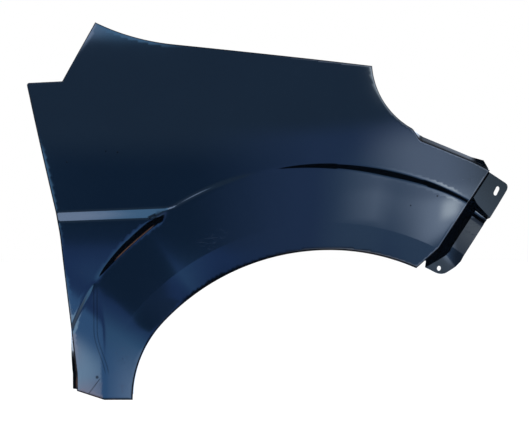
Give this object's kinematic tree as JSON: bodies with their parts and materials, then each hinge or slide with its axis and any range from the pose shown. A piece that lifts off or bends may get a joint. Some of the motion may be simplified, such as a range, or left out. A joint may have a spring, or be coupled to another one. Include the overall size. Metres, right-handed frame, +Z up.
{
  "type": "front fender",
  "caption": "Pressed steel front fender for the right-hand side of a small van, with flared arch band, door swage, headlamp cut-out and folded bolting flanges.",
  "frame": {"origin": "on the top face of the upper bolting rail, between its middle and front holes", "axes": "+X towards the front of the vehicle, +Y inboard (the painted side faces -Y), +Z up"},
  "size_m": [0.8455, 0.1902, 0.65],
  "materials": {
    "coated_steel": "glossy blue-black electrocoat"
  },
  "bodies": {
    "root": {"fender": "coated_steel"}
  },
  "joints": []
}
